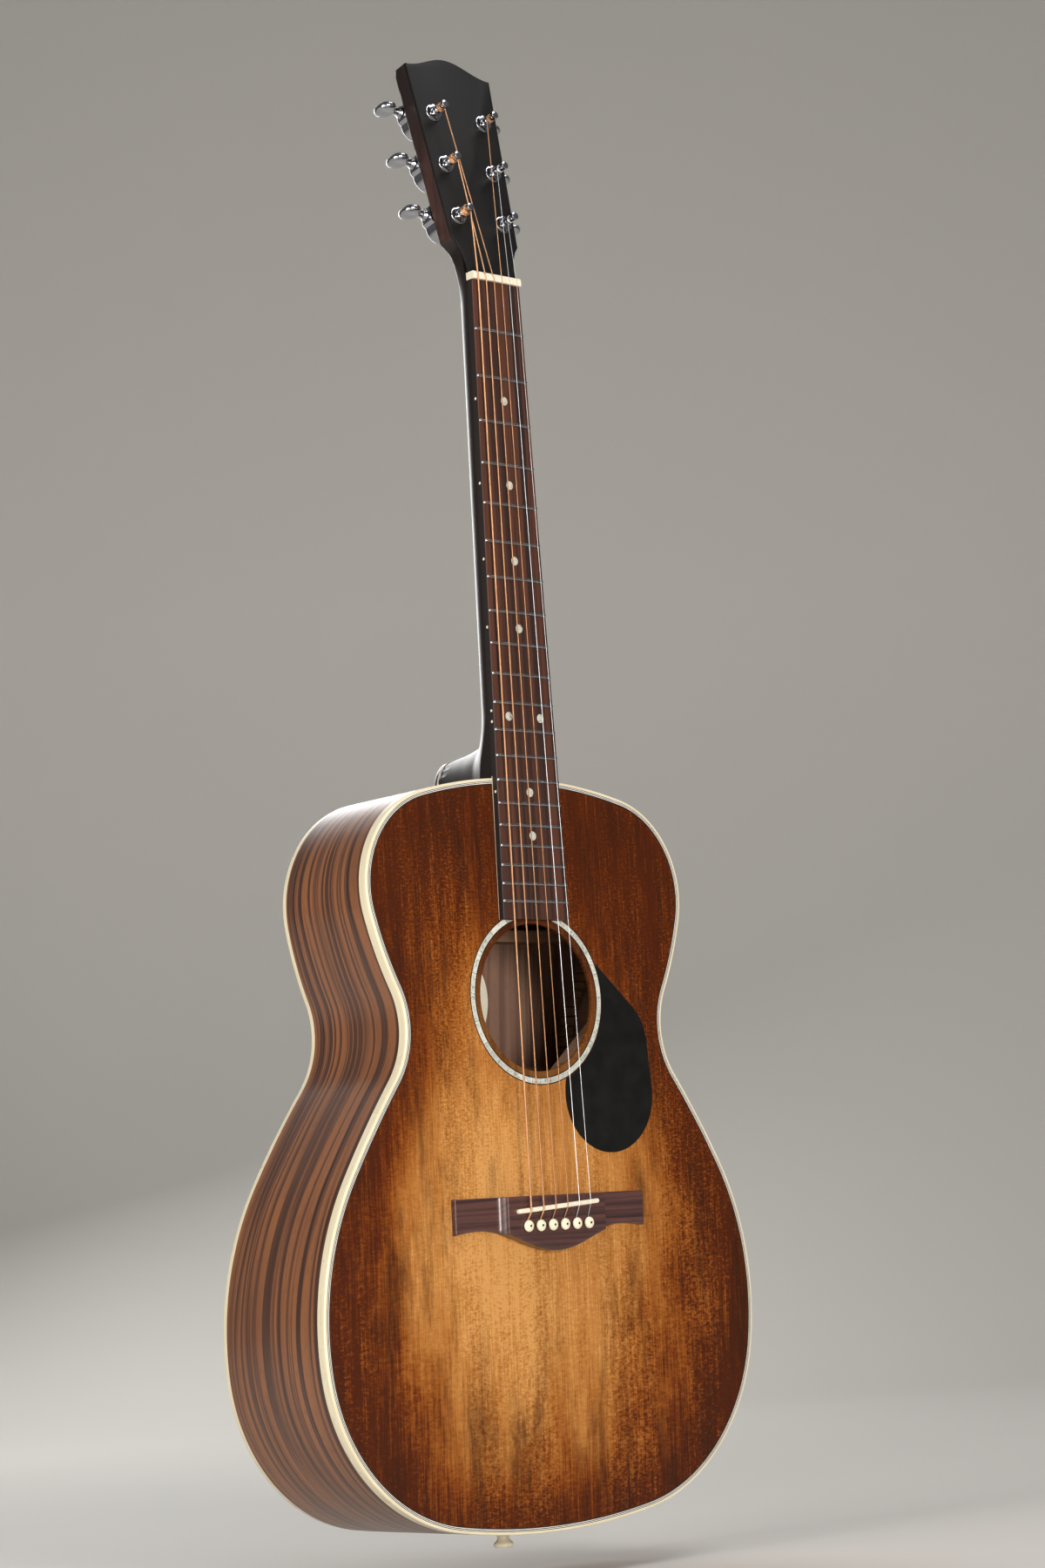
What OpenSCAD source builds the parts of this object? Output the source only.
// Steel-string acoustic guitar with fourteen frets clear of the body, as separate parts in one frame.
// X runs across the neck, positive to the treble side. Y runs front to back, the front faces -Y.
// Z runs up the neck. The origin is on the centre line, under the fingerboard, where neck meets body.

/* [Body] */
// Thickness of the soundboard
top_t = 2.8; // [2.5:0.1:3.0]
// Thickness of the back plates
back_t = 2.6; // [2.3:0.1:2.9]
// Thickness of the bent sides and of both bindings
side_t = 2.0; // [1.8:0.1:2.2]
// Height of the front binding along the side
front_binding_h = 7.3; // [6:0.1:8]
// Height of the back binding along the side
back_binding_h = 4.2; // [3.5:0.1:5]
// Radius of the sound hole
hole_r = 51; // [50:0.5:51.5]

/* [Neck] */
// Width of the fingerboard at the nut
nut_w = 44.45; // [43:0.05:45]
// Width of the fingerboard at the twelfth fret
twelfth_w = 56; // [55:0.1:57]
// Height of the fingerboard on its centre line
board_t = 6.6; // [6.2:0.1:7]
// Thickness of the neck and headstock wood at the tuners
head_t = 14.5; // [14:0.1:15]
// Height of the string above the twelfth fret
action = 2.0; // [1.8:0.1:2.4]

/* [Tuners] */
// Teeth on each worm wheel
wheel_teeth = 14; // [14:1:14]
// Distance from string post to the end of the button
key_reach = 33; // [32:0.5:34]

/* [Hidden] */
gap = 0.05;
scale_length = 645.16;
nut_z = scale_length * (1 - pow(2, -14 / 12));
body_end_z = 3;

// Each entry is one arc of the half outline, from the neck to the tail: radius, then how far it turns.
// A positive turn bulges outwards; the last arc closes on the centre line at the tail.
shoulder_arcs = [[368, 14.5], [70, 90], [256, 12], [59, -62.5], [666, 6.4], [199, 38.4], [129.6, 71.5]];
arc_n = len(shoulder_arcs);

function turned(k) = k == 0 ? 0 : turned(k - 1) + shoulder_arcs[k - 1][1];
function inward(a) = [-sin(a), -cos(a)];
function side_sign(k) = shoulder_arcs[k][1] > 0 ? 1 : -1;
function arc_centre(k) = arc_start(k) + side_sign(k) * shoulder_arcs[k][0] * inward(turned(k));
function arc_start(k) = k == 0 ? [0, body_end_z]
    : arc_centre(k - 1) - side_sign(k - 1) * shoulder_arcs[k - 1][0] * inward(turned(k));
function inset_start(k, d) = arc_start(k) + d * inward(turned(k));
tail_turn = 180 - turned(arc_n);
tail_r = arc_start(arc_n)[0] / sin(tail_turn);
tail_centre = arc_start(arc_n) + tail_r * inward(turned(arc_n));
tail_z = tail_centre[1] - tail_r;

// Dome of the soundboard and of the back: sphere radius, then the foot of its axis.
dome_r = 7620;
dome_y = -0.373;
dome_z = -75.4;
arch_r = 4572;
arch_y = 131.7;
arch_z = -651.5;

hole_z = -150;
rosette_in = 55.2;
rosette_out = 60.4;
board_r = 406;
board_end_z = -96.8;
saddle_z = -293.6;
saddle_turn = 3.7;
pin_z = -305.6;
pin_pitch = 11.03;
bridge_z = -297;
bridge_tilt = asin((dome_z - bridge_z) / dome_r);
bridge_y = dome_y + dome_r - sqrt(dome_r * dome_r - pow(dome_z - bridge_z, 2));
bridge_t = 9.5;
wing_t = 3.5;
wing_x = 86;
fret_h = 1.1;
head_tilt = 12;
face_y = -3.2;
face_z = nut_z + 5.6;
face_t = 2;
crown_x = 39.5;
crown_s = 165.5;
crown_h = 10;
heel_y = 74.5;
heel_cap_t = 5;
truss_y = 6.7;
strap_y = 72;
strap_reach = 10.5;
label_r = 41.5;
label_z = -145;
cross_z = -226;

// String radii from bass to treble.
string_r = [0.673, 0.533, 0.406, 0.305, 0.203, 0.152];
// Tuner of each string: side of the headstock, distance across and distance up from the nut.
tuner_at = [[-1, 20.9, 44.5], [-1, 22.1, 85.8], [-1, 23.4, 127.2],
    [1, 23.4, 127.2], [1, 22.1, 85.8], [1, 20.9, 44.5]];
worm_u = 9.6;
worm_w = 6;
wheel_r = 7;
worm_r = 2.6;
worm_lead = 2 * PI * wheel_r / wheel_teeth;
lug_t = 2.6;
post_r = 3;
wind_h = 9;

wood_top = [0.72, 0.42, 0.16];
rosewood = [0.33, 0.19, 0.12];
dark_wood = [0.12, 0.08, 0.07];
mahogany = [0.3, 0.16, 0.11];
pale_wood = [0.8, 0.68, 0.5];
cream = [0.93, 0.89, 0.76];
black = [0.04, 0.04, 0.04];
pearl = [0.85, 0.86, 0.82];
chrome = [0.8, 0.8, 0.82];
bronze = [0.78, 0.55, 0.35];

// ---------- shared shapes ----------

// Facets per arc; every nested layer uses the same ones, so the layers stay parallel.
arc_steps = [5, 15, 5, 10, 3, 10, 14];

function arc_points(k, d) = [for (j = [0 : arc_steps[k] - 1])
    arc_centre(k) - (side_sign(k) * shoulder_arcs[k][0] - d)
        * inward(turned(k) + shoulder_arcs[k][1] * j / arc_steps[k])];
function half_points(d) = [for (k = [0 : arc_n - 1]) for (p = arc_points(k, d)) if (p[0] > 0.001) p];
function tail_points(d) = [for (j = [0 : 2])
    tail_centre - (tail_r - d) * inward(turned(arc_n) + tail_turn * j / 3)];

// Body outline moved inwards by d, in the plane of the soundboard.
module outline(d) {
    right = concat([[0, body_end_z - d]], half_points(d), tail_points(d));
    left = [for (i = [len(right) - 1 : -1 : 1]) [-right[i][0], right[i][1]]];
    polygon(concat(right, [[0, tail_z + d]], left));
}

module ring(d_out, d_in) {
    difference() {
        outline(d_out);
        outline(d_in);
    }
}

// Turns a flat shape in X and Z into a block from y0 to y1.
module block(y0, y1) {
    translate([0, y1, 0])
        rotate([90, 0, 0])
            linear_extrude(y1 - y0)
                children();
}

// Points along a dome of radius r, moved in by d, from its axis out to the distance w.
function dome_points(r, d, w) = [for (j = [0 : 8])
    [w * j / 8, sqrt(pow(r - d, 2) - pow(w * j / 8, 2)) - r]];

// Solid between the surfaces a and b below a dome; b over 50 fills it right through.
module dome_layer(r, a, b, w) {
    outer = dome_points(r, a, w);
    inner = dome_points(r, b, w);
    rotate_extrude($fn = 180)
        polygon(concat(outer, b < 50 ? [for (j = [8 : -1 : 0]) inner[j]] : [[w, -190], [0, -190]]));
}

// Everything between a and b below the domed front surface.
module under_top(a, b) {
    translate([0, dome_y, dome_z])
        rotate([90, 0, 0])
            dome_layer(dome_r, a, b, 470);
}

// Everything between a and b in front of the arched back surface.
module over_back(a, b) {
    translate([0, arch_y, arch_z])
        rotate([-90, 0, 0])
            dome_layer(arch_r, a, b, 690);
}

module box(x0, x1, y0, y1, z0, z1) {
    translate([x0, y0, z0])
        cube([x1 - x0, y1 - y0, z1 - z0]);
}

// Round bar along Y at x and z, from y0 back to y1.
module y_bar(x, z, r, y0, y1) {
    translate([x, y1, z])
        rotate([90, 0, 0])
            cylinder(h = y1 - y0, r = r, $fn = 96);
}

// Round bar between two points.
module rod(a, b, r) {
    v = b - a;
    l = norm(v);
    translate(a)
        rotate([0, acos(v[2] / l), atan2(v[1], v[0])])
            cylinder(h = l, r = r, $fn = 24);
}

module bridge_frame() {
    translate([0, bridge_y, bridge_z])
        rotate([bridge_tilt, 0, 0])
            children();
}

module head_frame() {
    translate([0, face_y, face_z])
        rotate([-head_tilt, 0, 0])
            children();
}

function board_half(z) = nut_w / 2 + (twelfth_w - nut_w) / 2 * (nut_z - z) / (scale_length / 2);
function fret_z(n) = nut_z - scale_length * (1 - pow(2, -n / 12));
function pin_x(i) = (i - 2.5) * pin_pitch;
function head_point(x, y, s) = [x, face_y + y * cos(head_tilt) + s * sin(head_tilt),
    face_z - y * sin(head_tilt) + s * cos(head_tilt)];

// ---------- body ----------

module pin_holes(r, y0, y1) {
    bridge_frame()
        for (i = [0 : 5]) {
            y_bar(pin_x(i), pin_z - bridge_z, r, y0, y1);
            box(pin_x(i) - 0.8, pin_x(i) + 0.8, y0, y1, pin_z - bridge_z, pin_z - bridge_z + 3.6);
        }
}

module soundboard() {
    color(wood_top)
        difference() {
            intersection() {
                block(-10, 30)
                    outline(side_t + 2.55);
                under_top(0, top_t);
            }
            y_bar(0, hole_z, hole_r, -10, 20);
            difference() {
                y_bar(0, hole_z, rosette_out + gap, -10, 1.15);
                y_bar(0, hole_z, rosette_in - gap, -11, 20);
            }
            pin_holes(2.75, -10, 20);
        }
}

module front_purfling() {
    color([0.45, 0.43, 0.4])
        intersection() {
            block(-10, 30)
                ring(side_t + gap, side_t + 2.5);
            under_top(0, top_t);
        }
}

module front_binding() {
    color(cream)
        difference() {
            intersection() {
                block(-10, 40)
                    ring(0, side_t);
                under_top(0, front_binding_h);
            }
            dovetail(0.05);
            slot_for_truss_rod();
        }
}

module back_binding() {
    color(cream)
        intersection() {
            block(60, 150)
                ring(0, side_t);
            over_back(0, back_binding_h);
        }
}

module side_shell() {
    intersection() {
        block(-5, 150)
            ring(0, side_t);
        under_top(front_binding_h + gap, 99);
        over_back(back_binding_h + gap, 99);
    }
}

module bass_side() {
    color(rosewood)
        difference() {
            side_shell();
            box(-0.025, 300, -20, 160, -600, 50);
            dovetail(0.05);
            hole_for_strap_button();
        }
}

module treble_side() {
    color(rosewood)
        difference() {
            side_shell();
            box(-300, 0.025, -20, 160, -600, 50);
            dovetail(0.05);
            hole_for_strap_button();
        }
}

module back_plates() {
    color(rosewood)
        difference() {
            intersection() {
                block(60, 150)
                    outline(side_t + gap);
                over_back(0, back_t);
            }
            box(-0.03, 0.03, 60, 150, -600, 50);
        }
}

module front_lining() {
    color(pale_wood)
        difference() {
            intersection() {
                block(-10, 60)
                    ring(side_t + gap, 8.5);
                under_top(top_t + gap, 17);
            }
            box(-39.05, 39.05, -20, 60, -61, 20);
            box(-31.05, 31.05, -20, 60, -600, -480);
        }
}

module back_lining() {
    color(pale_wood)
        difference() {
            intersection() {
                block(40, 150)
                    ring(side_t + gap, 8.5);
                over_back(back_t + gap, 15);
            }
            box(-39.05, 39.05, 40, 160, -61, 20);
            box(-31.05, 31.05, 40, 160, -600, -480);
        }
}

module neck_block() {
    color(pale_wood)
        difference() {
            intersection() {
                block(-5, 150)
                    intersection() {
                        outline(side_t + gap);
                        translate([-39, -58])
                            square([78, 80]);
                    }
                under_top(top_t + gap, 99);
                over_back(back_t + gap, 99);
            }
            dovetail(0.05);
            slot_for_truss_nut();
            slot_for_truss_rod();
        }
}

module tail_block() {
    color(pale_wood)
        difference() {
            intersection() {
                block(-5, 150)
                    intersection() {
                        outline(side_t + gap);
                        translate([-31, -520])
                            square([62, 30]);
                    }
                under_top(top_t + gap, 99);
                over_back(back_t + gap, 99);
            }
            hole_for_strap_button();
        }
}

// Front braces run under the soundboard; back braces run inside the back.
module front_bar(x, z, turn, len, w, h, foot, tip) {
    translate([x, 0, z])
        rotate([0, turn, 0])
            translate([0, 0, -len / 2])
                rotate([0, -90, 0])
                    translate([0, 0, -w / 2])
                        linear_extrude(w)
                            polygon([[0, -10], [len, -10], [len, tip], [len * 0.8, h], [len * 0.2, h], [0, foot]]);
}

module x_bar(side) {
    intersection() {
        front_bar(-side * 38.5 * sin(49), cross_z - 38.5 * cos(49), side * 49, 404, 8, 20, 14.5, 7.5);
        under_top(top_t + gap, 99);
        block(-10, 60)
            outline(8.6);
    }
}

module x_brace() {
    color(pale_wood) {
        difference() {
            x_bar(-1);
            translate([0, 0, cross_z])
                rotate([0, 49, 0])
                    box(-4.03, 4.03, -5, 12.02, -12, 12);
        }
        difference() {
            x_bar(1);
            translate([0, 0, cross_z])
                rotate([0, -49, 0])
                    box(-4.03, 4.03, 11.98, 40, -12, 12);
        }
    }
}

module tone_bars() {
    color(pale_wood)
        intersection() {
            union() {
                front_bar(-6, -366, -62, 150, 7, 20, 14, 12);
                front_bar(-24, -420, -66, 150, 7, 20, 16, 14);
            }
            under_top(top_t + gap, 99);
            block(-10, 60)
                outline(9);
        }
}

module finger_braces() {
    color(pale_wood)
        intersection() {
            union() {
                for (s = [-1, 1]) {
                    front_bar(s * 104, -270, s * 62, 84, 6, 14, 9, 10);
                    front_bar(s * 135, -315, s * 72, 70, 6, 16, 11, 12);
                }
            }
            under_top(top_t + gap, 99);
            block(-10, 60)
                intersection() {
                    outline(9);
                    union() {
                        polygon([[28, -240], [260, -240], [260, -441]]);
                        polygon([[-28, -240], [-260, -240], [-260, -441]]);
                    }
                }
        }
}

module cross_brace() {
    color(pale_wood)
        difference() {
            cross_bar();
            translate([0, truss_y + 0.6, -100])
                cylinder(h = 50, r = 3.7, $fn = 96);
        }
}

module cross_bar() {
    intersection() {
        front_bar(0, -78, 90, 300, 12, 18, 8, 8);
        under_top(top_t + gap, 99);
        block(-10, 60)
            outline(9);
    }
}

module bridge_plate() {
    color(pale_wood)
        difference() {
            intersection() {
                block(-5, 30)
                    polygon([[-60, -284], [60, -284], [90, -321], [-90, -321]]);
                under_top(top_t + gap, top_t + 2.5);
                block(-5, 30)
                    polygon([[0, -232.5], [260, -458.5], [-260, -458.5]]);
            }
            pin_holes(2.75, -10, 20);
        }
}

module back_bar(z, w, h) {
    intersection() {
        translate([-200, 60, z - w / 2])
            cube([400, 90, w]);
        over_back(back_t + gap, back_t + h);
        block(40, 150)
            outline(9);
    }
}

module back_braces() {
    color(pale_wood) {
        back_bar(-98, 8, 16);
        back_bar(-196, 8, 16);
        back_bar(-300, 18, 11);
        back_bar(-402, 18, 11);
    }
}

module rosette() {
    color(pearl)
        intersection() {
            difference() {
                y_bar(0, hole_z, rosette_out, -10, 1.1);
                y_bar(0, hole_z, rosette_in, -11, 20);
            }
            under_top(0, top_t);
        }
}

module pickguard() {
    color(black)
        intersection() {
            block(-10, 30)
                pickguard_outline();
            under_top(-0.75, -gap);
        }
}

// Teardrop plate: a wide round end at the foot, drawn in towards the sound hole.
module pickguard_outline() {
    difference() {
        hull() {
            translate([62.5, -217])
                circle(41.3, $fn = 128);
            translate([66, -183])
                circle(35, $fn = 128);
            translate([55, -131])
                circle(4, $fn = 32);
        }
        translate([0, hole_z])
            circle(rosette_out + 0.1, $fn = 180);
    }
}

module paper_label() {
    color([0.85, 0.8, 0.7])
        intersection() {
            y_bar(0, label_z, label_r, 60, 150);
            over_back(back_t + gap, back_t + gap + 0.25);
        }
}

// ---------- bridge ----------

function belly_z(x) = abs(x) < 64 ? -307.4 - 7.75 * (1 + cos(180 * x / 64))
    : -307.4 - 2 * pow((abs(x) - 64) / 22, 2);

module bridge_outline() {
    polygon(concat(
        [for (i = [-22 : 22]) [i * wing_x / 22, belly_z(i * wing_x / 22)]],
        [[wing_x, -285.5], [-wing_x, -285.5]]));
}

module wing_cut() {
    intersection() {
        box(30, 120, -40, -wing_t, -60, 60);
        union() {
            translate([50.3, -wing_t - 6, -60])
                cylinder(h = 120, r = 6, $fn = 96);
            box(50.3, 120, -40, -wing_t, -60, 60);
            box(44.3, 120, -40, -wing_t - 6, -60, 60);
        }
    }
}

module saddle_slot(w, l) {
    translate([0, -bridge_t - 1, saddle_z - bridge_z])
        rotate([0, -saddle_turn, 0])
            rotate([90, 0, 0])
                translate([0, 0, -5])
                    linear_extrude(15)
                        union() {
                            square([l - w, w], center = true);
                            for (s = [-1, 1])
                                translate([s * (l - w) / 2, 0])
                                    circle(w / 2, $fn = 48);
                        }
}

module bridge() {
    color(dark_wood)
        difference() {
            intersection() {
                bridge_frame()
                    box(-wing_x, wing_x, -bridge_t, 8, -40, 20);
                block(-25, 30)
                    bridge_outline();
                under_top(-25, -gap);
            }
            bridge_frame() {
                wing_cut();
                mirror([1, 0, 0])
                    wing_cut();
                saddle_slot(3.3, 74.1);
                for (i = [0 : 5])
                    box(pin_x(i) - 0.8, pin_x(i) + 0.8, -20, 1.3 - bridge_t,
                        pin_z - bridge_z + 2, pin_z - bridge_z + 6.6);
            }
            pin_holes(2.75, -30, 20);
        }
}

function nut_top(x) = -(board_t + fret_h + 0.5) + x * x / (2 * board_r);
function string_x_nut(i) = (i - 2.5) * 7.35;
function string_y(x, z) = nut_top(string_x_nut(2.5)) - action * (nut_z - z) / (scale_length / 2) * 0.78
    + x * x / (2 * board_r);
function saddle_at(i) = saddle_z + tan(saddle_turn) * pin_x(i) * 0.99;
function saddle_top(x) = string_y(x, saddle_z);

module saddle() {
    color(cream)
        intersection() {
            bridge_frame()
                saddle_slot(3.2, 74);
            translate([0, board_r + saddle_top(0), -330])
                cylinder(h = 60, r = board_r, $fn = 720);
        }
}

module bridge_pin(i) {
    color(cream)
        bridge_frame()
            translate([pin_x(i), -bridge_t, pin_z - bridge_z])
                rotate([90, 0, 0])
                    difference() {
                        union() {
                            translate([0, 0, -19])
                                cylinder(h = 19.2, r1 = 2.2, r2 = 2.65, $fn = 48);
                            translate([0, 0, 0.1])
                                cylinder(h = 1.2, r1 = 3.2, r2 = 4, $fn = 48);
                            translate([0, 0, 1.3])
                                intersection() {
                                    translate([0, 0, -0.6])
                                        sphere(4.05, $fn = 96);
                                    cylinder(h = 5, r = 4, $fn = 96);
                                }
                        }
                        translate([-0.8, 1.75, -30])
                            cube([1.6, 5, 31.5]);
                    }
}

module bridge_pin_1() { bridge_pin(0); }
module bridge_pin_2() { bridge_pin(1); }
module bridge_pin_3() { bridge_pin(2); }
module bridge_pin_4() { bridge_pin(3); }
module bridge_pin_5() { bridge_pin(4); }
module bridge_pin_6() { bridge_pin(5); }

module strap_button() {
    color(cream)
        translate([0, strap_y, tail_z])
            rotate([180, 0, 0]) {
                translate([0, 0, 0.1])
                    cylinder(h = 2.4, r1 = 6.5, r2 = 5.2, $fn = 96);
                translate([0, 0, 2.5])
                    cylinder(h = 5, r = 4.2, $fn = 96);
                translate([0, 0, 7.5])
                    cylinder(h = 1.5, r1 = 4.2, r2 = 7, $fn = 96);
                translate([0, 0, 9])
                    cylinder(h = 3, r = 7, $fn = 96);
                translate([0, 0, -18])
                    cylinder(h = 18.2, r1 = 3.4, r2 = 4.4, $fn = 96);
            }
}

module hole_for_strap_button() {
    translate([0, strap_y, tail_z])
        rotate([180, 0, 0])
            translate([0, 0, -18.2])
                cylinder(h = 30, r1 = 3.45, r2 = 5.1, $fn = 96);
}

// ---------- neck ----------

// Joint between heel and neck block, wider inside than at the surface.
module dovetail(grow) {
    translate([0, heel_y - 4 + grow, 0])
        rotate([90, 0, 0])
            linear_extrude(heel_y - 8 + 2 * grow)
                polygon([[-11 - grow, 6], [11 + grow, 6], [11 + grow, -2], [15 + grow, -17 - grow],
                    [-15 - grow, -17 - grow], [-11 - grow, -2]]);
}

module slot_for_truss_rod() {
    box(-3.1, 3.1, truss_y - 3.1, truss_y + 3.1, -40, 10);
}

module slot_for_truss_nut() {
    box(-3.8, 3.8, -5, truss_y + 3.8, -90, -14);
}

// Cross-section of the neck: flat under the fingerboard, rounded behind.
module neck_section(z, half, depth) {
    translate([0, 0, z])
        linear_extrude(0.5)
            intersection() {
                scale([1, depth / half])
                    circle(half, $fn = 64);
                translate([-half, 0])
                    square([2 * half, depth]);
            }
}

// Slice of the heel at depth y: half as wide as half, reaching reach up from the body.
module heel_slice(y, half, reach) {
    translate([0, y + 0.5, 0])
        rotate([90, 0, 0])
            linear_extrude(0.5)
                intersection() {
                    scale([1, reach / half])
                        circle(half, $fn = 64);
                    translate([-half, -3])
                        square([2 * half, reach + 3]);
                }
}

module neck_wood() {
    hull() {
        neck_section(nut_z - 12, nut_w / 2, 20.5);
        neck_section(4, board_half(4), 22.5);
    }
    hull() {
        heel_slice(0, board_half(0), 60);
        heel_slice(12, 27, 50);
        heel_slice(20, 25.5, 38);
    }
    hull() {
        heel_slice(20, 25.5, 38);
        heel_slice(27, 23.5, 31);
    }
    hull() {
        heel_slice(27, 23.5, 31);
        heel_slice(heel_y - 0.5, 15.5, 25.5);
    }
    hull() {
        neck_section(nut_z - 12, nut_w / 2, 20.5);
        neck_section(nut_z + 5, nut_w / 2, 15.5);
        head_frame()
            translate([-30.2, face_t + gap + 0.1, 26])
                cube([60.4, head_t - face_t - gap - 0.3, 2]);
    }
}

// Headstock seen from the front: flared from the nut, widest at the top, under a wave-shaped crown.
module head_outline(grow) {
    right = [[22.3, grow], [22.6, 8], [24.2, 16], [27.4, 23], [31, 27.7]];
    crown = [for (k = [8 : -1 : -8]) [crown_x * k / 8, crown_s + crown_h * (1 + cos(180 * k / 8)) / 2]];
    left = [for (i = [len(right) - 1 : -1 : 0]) [-right[i][0], right[i][1]]];
    polygon(concat(right, crown, left));
}

module head_mask() {
    rotate([90, 0, 0])
        translate([0, 0, -40])
            linear_extrude(60)
                head_outline(-40);
}

module neck() {
    color(mahogany)
        difference() {
            union() {
                difference() {
                    neck_wood();
                    block(-20, 140)
                        outline(-gap);
                    box(-60, 60, -30, 0, -200, nut_z + 5.6);
                    head_frame()
                        difference() {
                            box(-60, 60, -30, 60, 0, 60);
                            head_mask();
                        }
                }
                head_frame()
                    translate([0, head_t, 0])
                        rotate([90, 0, 0])
                            linear_extrude(head_t - face_t - gap)
                                head_outline(3);
                difference() {
                    dovetail(0);
                    box(-30, 30, -10, 100, 5.9, 10);
                }
            }
            head_frame() {
                box(-60, 60, -40, face_t + gap, 0, 60);
                for (t = tuner_at)
                    y_bar(t[0] * t[1], t[2], 5, -1, 30);
                for (t = tuner_at)
                    y_bar(t[0] * t[1], t[2] - 13, 1.2, head_t - 8, 30);
            }
            box(-3.1, 3.1, -20, truss_y + 3.1, -30, nut_z - 20);
        }
}

module headplate() {
    color(black)
        head_frame()
            difference() {
                translate([0, face_t, 0])
                    rotate([90, 0, 0])
                        linear_extrude(face_t)
                            head_outline(1.4);
                for (t = tuner_at)
                    y_bar(t[0] * t[1], t[2], 5, -1, 30);
            }
}

module heel_cap() {
    color(dark_wood)
        difference() {
            hull() {
                heel_slice(heel_y + gap, 15.5, 25.5);
                heel_slice(heel_y + heel_cap_t - 0.5, 15, 25);
            }
            block(-20, 140)
                outline(-gap);
        }
}

module board_outline(d) {
    polygon([[-board_half(nut_z) + d, nut_z - d], [board_half(nut_z) - d, nut_z - d],
        [board_half(board_end_z) - d, board_end_z + d], [-board_half(board_end_z) + d, board_end_z + d]]);
}

module fingerboard() {
    color(dark_wood)
        difference() {
            intersection() {
                block(-board_t - 1, -0.03)
                    board_outline(0);
                translate([0, board_r - board_t, board_end_z - 10])
                    cylinder(h = 600, r = board_r, $fn = 720);
            }
            under_top(-gap, 99);
            for (n = [1 : 20])
                translate([0, board_r - board_t, fret_z(n) - 0.3])
                    difference() {
                        cylinder(h = 0.6, r = board_r + 5, $fn = 720);
                        translate([0, 0, -1])
                            cylinder(h = 2.6, r = board_r - 1.65, $fn = 720);
                    }
            for (d = dot_at)
                y_bar(d[0], d[1], 3.15, -20, -board_t + 2.65);
            for (d = side_dot_at)
                side_dot(d, 1.05);
        }
}

dot_at = [for (n = [3, 5, 7, 9, 15, 17]) [0, (fret_z(n) + fret_z(n - 1)) / 2],
    [-14.5, (fret_z(12) + fret_z(11)) / 2], [14.5, (fret_z(12) + fret_z(11)) / 2]];
side_dot_at = [fret_z(2.5), fret_z(4.5), fret_z(6.5), fret_z(8.5), fret_z(11.3), fret_z(11.7), fret_z(14.5)];

module side_dot(z, r) {
    translate([-board_half(z) + 1.5, -3.3, z])
        rotate([0, -90, 0])
            cylinder(h = 5, r = r, $fn = 48);
}

module position_dots() {
    color(pearl)
        intersection() {
            union() {
                for (d = dot_at)
                    y_bar(d[0], d[1], 3.1, -20, -board_t + 2.6);
                difference() {
                    for (d = side_dot_at)
                        side_dot(d, 1);
                    block(-20, 20)
                        difference() {
                            translate([-60, board_end_z])
                                square([50, 600]);
                            board_outline(0);
                        }
                }
            }
            translate([0, board_r - board_t, board_end_z - 10])
                cylinder(h = 600, r = board_r, $fn = 720);
        }
}

module fret(n) {
    half = board_half(fret_z(n)) - 0.3;
    sweep = 2 * asin(half / board_r);
    translate([0, board_r - board_t, fret_z(n)])
        rotate([0, 0, -90 - sweep / 2])
            rotate_extrude(angle = sweep, $fn = 720)
                translate([board_r, 0])
                    polygon([[0.03, -1.2], [0.55, -1.05], [0.95, -0.65], [fret_h, -0.2], [fret_h, 0.2],
                        [0.95, 0.65], [0.55, 1.05], [0.03, 1.2], [0.03, 0.26], [-1.6, 0.26], [-1.6, -0.26],
                        [0.03, -0.26]]);
}

module frets() {
    color(chrome)
        for (n = [1 : 20])
            fret(n);
}

module nut() {
    color(cream)
        difference() {
            intersection() {
                block(-board_t - 3, -0.03)
                    translate([-nut_w / 2, nut_z + 0.05])
                        square([nut_w, 5.5]);
                translate([0, board_r - board_t - fret_h - 1.1, nut_z])
                    cylinder(h = 10, r = board_r, $fn = 720);
                translate([0, 2.2, nut_z - 0.1])
                    rotate([0, 90, 0])
                        translate([0, 0, -40])
                            cylinder(h = 80, r = 11.2, $fn = 120);
            }
            for (i = [0 : 5])
                nut_slot(i);
        }
}

// Notch open to the front: one length under the string's playing run, one turned towards its post.
module nut_slot(i) {
    w = 2 * string_r[i] + 0.24;
    p = string_nut(i);
    v = string_end(i) - p;
    translate([p[0] - w / 2, p[1] - 10, nut_z - 3])
        cube([w, 10 + w / 2, 4.3]);
    translate(p)
        rotate([-asin(v[1] / norm(v)), atan2(v[0], v[2]), 0])
            translate([-w / 2, -10, -0.3])
                cube([w, 10 + w / 2, 12]);
}

module truss_rod() {
    color(chrome)
        box(-3, 3, truss_y - 3, truss_y + 3, -29, nut_z - 22);
}

module truss_rod_nut() {
    color(chrome)
        translate([0, truss_y, -29.1])
            rotate([180, 0, 0])
                difference() {
                    cylinder(h = 16, r = 3.3, $fn = 96);
                    translate([0, 0, 8])
                        cylinder(h = 12, r = 2.3, $fn = 6);
                }
}

// ---------- tuners ----------

// Places a tuner on the back of the headstock. The key points outwards, the post points to the front.
module tuner_frame(i) {
    t = tuner_at[i];
    head_frame()
        translate([t[0] * t[1], head_t, t[2]])
            if (t[0] > 0)
                children();
            else
                mirror([1, 0, 0])
                    children();
}

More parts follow.
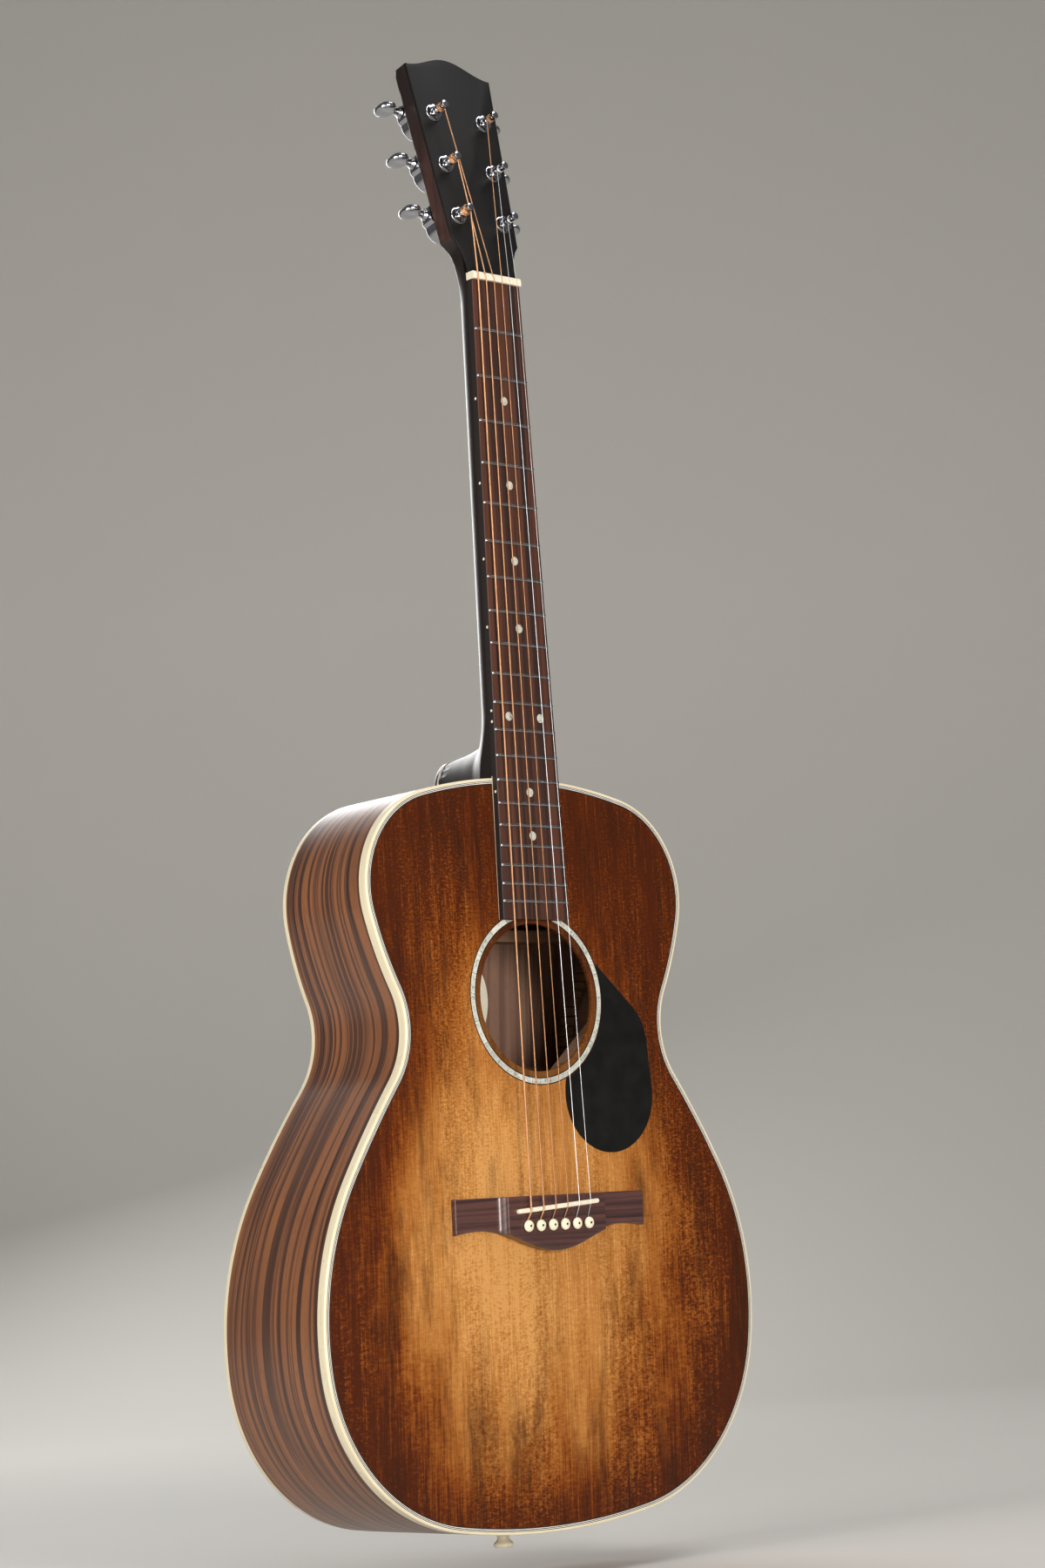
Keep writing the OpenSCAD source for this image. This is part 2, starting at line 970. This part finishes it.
// Cover over the gears, with a thin lug below it for the screw.
module housing() {
    difference() {
        union() {
            block(gap, 11.5) {
                circle(9.9, $fn = 96);
                translate([-7, 3])
                    square([19, 11.6]);
            }
            block(gap, lug_t) {
                translate([-3.6, -13])
                    square([7.2, 12]);
                translate([0, -13])
                    circle(3.6, $fn = 48);
            }
        }
        y_bar(0, 0, 8.7, -1, 10.2);
        translate([-5.2, -1, worm_u - 4])
            cube([10.6, worm_w + 4.9, 8]);
        translate([-6.4, worm_w, worm_u])
            rotate([0, 90, 0])
                cylinder(h = 3, r = 1.55, $fn = 48);
        translate([0, worm_w, worm_u])
            rotate([0, 90, 0])
                cylinder(h = 20, r = 2.55, $fn = 48);
        y_bar(0, 0, 1.55, 9, 11);
        y_bar(0, -13, 1.35, -1, 20);
    }
}

module tuner_housings() {
    color(chrome)
        for (i = [0 : 5])
            tuner_frame(i)
                housing();
}

module tuner_screws() {
    color(chrome)
        for (i = [0 : 5])
            tuner_frame(i) {
                y_bar(0, -13, 1.1, -7.5, lug_t + 0.1);
                difference() {
                    y_bar(0, -13, 2.6, lug_t + 0.1, lug_t + 1.3);
                    box(-3, 3, lug_t + 0.8, lug_t + 2, -13.4, -12.6);
                    box(-0.4, 0.4, lug_t + 0.8, lug_t + 2, -16, -10);
                }
            }
}

module tuner_bushings() {
    color(chrome)
        for (i = [0 : 5])
            tuner_frame(i)
                translate([0, -head_t, 0])
                    difference() {
                        union() {
                            y_bar(0, 0, 4.95, -0.1, 8);
                            y_bar(0, 0, 6.6, -1.0, -gap);
                            translate([0, -0.9, 0])
                                rotate([90, 0, 0])
                                    cylinder(h = 2.6, r = 6.2, $fn = 6);
                        }
                        y_bar(0, 0, post_r + gap, -10, 20);
                    }
}

// One turn of thread cut square to its axis, twisted along the worm.
module worm_thread(l) {
    root = worm_r - 0.95;
    tip = worm_r + 0.75;
    function lift(a) = a < 72 ? tip : a < 112 ? tip - (tip - root) * (a - 72) / 40
        : a < 320 ? root : root + (tip - root) * (a - 320) / 40;
    angles = [0, 24, 48, 72, 92, 112, 147, 181, 216, 251, 285, 320, 340];
    linear_extrude(l, twist = -360 * l / worm_lead, slices = ceil(l / worm_lead * 18))
        polygon([for (a = angles) lift(a) * [cos(a - 36), sin(a - 36)]]);
}

module tuner_key(i) {
    color(chrome)
        tuner_frame(i)
            translate([0, worm_w, worm_u])
                rotate([0, 90, 0]) {
                    translate([0, 0, -4])
                        rotate([0, 0, 360 * (0.5 - 4 / worm_lead)])
                            worm_thread(8);
                    translate([0, 0, -6.3])
                        cylinder(h = 3, r = 1.5, $fn = 48);
                    translate([0, 0, 3.9])
                        cylinder(h = 11.2, r = 2.4, $fn = 48);
                    translate([0, 0, 12.3])
                        cylinder(h = 2.2, r1 = 4.4, r2 = 3.2, $fn = 48);
                    translate([0, 0, 14.5])
                        cylinder(h = 5, r1 = 3.2, r2 = 2.6, $fn = 48);
                    button();
                }
}

// Button: two lobes, one to the front and one to the back, joined by a narrower middle.
module button() {
    rotate([0, 0, 90])
        translate([0, 3.3, 18])
            rotate([90, 0, 0])
                linear_extrude(6.6)
                    intersection() {
                        union() {
                            for (s = [-1, 1])
                                translate([s * 3.6, (key_reach - 18) / 2])
                                    scale([0.72, 1])
                                        circle((key_reach - 18) / 2, $fn = 64);
                            translate([-5, 2])
                                square([10, key_reach - 18 - 3]);
                        }
                        translate([-10, 0])
                            square([20, 40]);
                    }
}

module tuner_key_1() { tuner_key(0); }
module tuner_key_2() { tuner_key(1); }
module tuner_key_3() { tuner_key(2); }
module tuner_key_4() { tuner_key(3); }
module tuner_key_5() { tuner_key(4); }
module tuner_key_6() { tuner_key(5); }

module wheel() {
    root = wheel_r - 0.95;
    tip = wheel_r + 0.7;
    step = 360 / wheel_teeth;
    linear_extrude(4.6, center = true, twist = -7, slices = 4)
        polygon([for (k = [0 : wheel_teeth - 1]) for (q = [[root, -6.6], [tip, -2.4], [tip, 2.4], [root, 6.6]])
            q[0] * [cos(k * step + q[1] + step / 2), sin(k * step + q[1] + step / 2)]]);
}

module string_post(i) {
    color(chrome)
        tuner_frame(i)
            rotate([90, 0, 0]) {
                translate([0, 0, -worm_w])
                    wheel();
                translate([0, 0, -10.9])
                    cylinder(h = 3, r = 1.5, $fn = 48);
                translate([0, 0, -8.5])
                    cylinder(h = head_t + 8.5 + 6, r = post_r, $fn = 48);
                difference() {
                    union() {
                        translate([0, 0, head_t + 5.9])
                            cylinder(h = 1.5, r1 = post_r, r2 = 2.5, $fn = 48);
                        translate([0, 0, head_t + 7.4])
                            cylinder(h = 4.6, r = 2.5, $fn = 48);
                        translate([0, 0, head_t + 12])
                            cylinder(h = 1.2, r1 = 2.5, r2 = post_r, $fn = 48);
                        translate([0, 0, head_t + 13.2])
                            cylinder(h = 2, r = post_r, $fn = 48);
                    }
                    translate([-5, 0, head_t + 11.4])
                        rotate([0, 90, 0])
                            cylinder(h = 10, r = 0.8, $fn = 32);
                }
                for (k = [0 : 2])
                    translate([0, 0, head_t + wind_h + (k - 1) * 2.02 * string_r[i]])
                        rotate_extrude($fn = 48)
                            translate([2.45 + string_r[i], 0])
                                circle(string_r[i], $fn = 20);
            }
}

module string_post_1() { string_post(0); }
module string_post_2() { string_post(1); }
module string_post_3() { string_post(2); }
module string_post_4() { string_post(3); }
module string_post_5() { string_post(4); }
module string_post_6() { string_post(5); }

// ---------- strings ----------

// Where the straight run ends, beside the turns on its post and just clear of them.
function string_end(i) = head_point(
    tuner_at[i][0] * (tuner_at[i][1] - 2.53 - 3 * string_r[i]), -wind_h, tuner_at[i][2] - 0.3);

function string_nut(i) = [string_x_nut(i), string_y(string_x_nut(i), nut_z) - string_r[i] - 0.02, nut_z + 1];
function string_saddle(i) = [pin_x(i), string_y(pin_x(i), saddle_at(i)) - string_r[i] - 0.1, saddle_at(i) - 1.9];
function from_bridge(p) = [p[0],
    bridge_y + p[1] * cos(bridge_tilt) - p[2] * sin(bridge_tilt),
    bridge_z + p[1] * sin(bridge_tilt) + p[2] * cos(bridge_tilt)];
function string_hole(i) = from_bridge([pin_x(i), 0.4 - bridge_t, pin_z - bridge_z + 2.6]);
function string_foot(i) = from_bridge([pin_x(i), top_t + 4.7, pin_z - bridge_z + 2.9]);

// Bent bar: straight lengths whose ends stop just short of a small ball at each bend.
module bent_bar(a, b, r_before, r_after) {
    v = (b - a) / norm(b - a);
    rod(a, b - 0.16 * v, r_before);
    translate(b)
        sphere(max(r_before, r_after) + 0.06, $fn = 64);
}

module guitar_string(i) {
    thin = min(string_r[i], 0.6);
    away = (string_saddle(i) - string_nut(i)) / norm(string_saddle(i) - string_nut(i));
    down = (string_hole(i) - string_saddle(i)) / norm(string_hole(i) - string_saddle(i));
    into = (string_foot(i) - string_hole(i)) / norm(string_foot(i) - string_hole(i));
    color(i < 4 ? bronze : chrome) {
        bent_bar(string_end(i), string_nut(i), string_r[i], string_r[i]);
        bent_bar(string_nut(i) + 0.16 * away, string_saddle(i), string_r[i], string_r[i]);
        bent_bar(string_saddle(i) + 0.16 * down, string_hole(i), string_r[i], thin);
        rod(string_hole(i) + 0.16 * into, string_foot(i), thin);
        bridge_frame()
            translate([pin_x(i) - 1.6, top_t + 4.7, pin_z - bridge_z + 4.4])
                rotate([0, 90, 0])
                    cylinder(h = 3.2, r = 1.95, $fn = 48);
    }
}

module string_1() { guitar_string(0); }
module string_2() { guitar_string(1); }
module string_3() { guitar_string(2); }
module string_4() { guitar_string(3); }
module string_5() { guitar_string(4); }
module string_6() { guitar_string(5); }

// The design is drawn from the fourteenth fret. This moves its origin to the head of the strap button.
module placed() {
    translate([0, -strap_y, strap_reach - tail_z])
        children();
}

placed() soundboard();
placed() front_purfling();
placed() front_binding();
placed() back_binding();
placed() bass_side();
placed() treble_side();
placed() back_plates();
placed() front_lining();
placed() back_lining();
placed() neck_block();
placed() tail_block();
placed() x_brace();
placed() tone_bars();
placed() finger_braces();
placed() cross_brace();
placed() bridge_plate();
placed() back_braces();
placed() rosette();
placed() pickguard();
placed() paper_label();
placed() bridge();
placed() saddle();
placed() bridge_pin_1();
placed() bridge_pin_2();
placed() bridge_pin_3();
placed() bridge_pin_4();
placed() bridge_pin_5();
placed() bridge_pin_6();
placed() strap_button();
placed() neck();
placed() headplate();
placed() heel_cap();
placed() fingerboard();
placed() position_dots();
placed() frets();
placed() nut();
placed() truss_rod();
placed() truss_rod_nut();
placed() tuner_housings();
placed() tuner_screws();
placed() tuner_bushings();
placed() tuner_key_1();
placed() tuner_key_2();
placed() tuner_key_3();
placed() tuner_key_4();
placed() tuner_key_5();
placed() tuner_key_6();
placed() string_post_1();
placed() string_post_2();
placed() string_post_3();
placed() string_post_4();
placed() string_post_5();
placed() string_post_6();
placed() string_1();
placed() string_2();
placed() string_3();
placed() string_4();
placed() string_5();
placed() string_6();
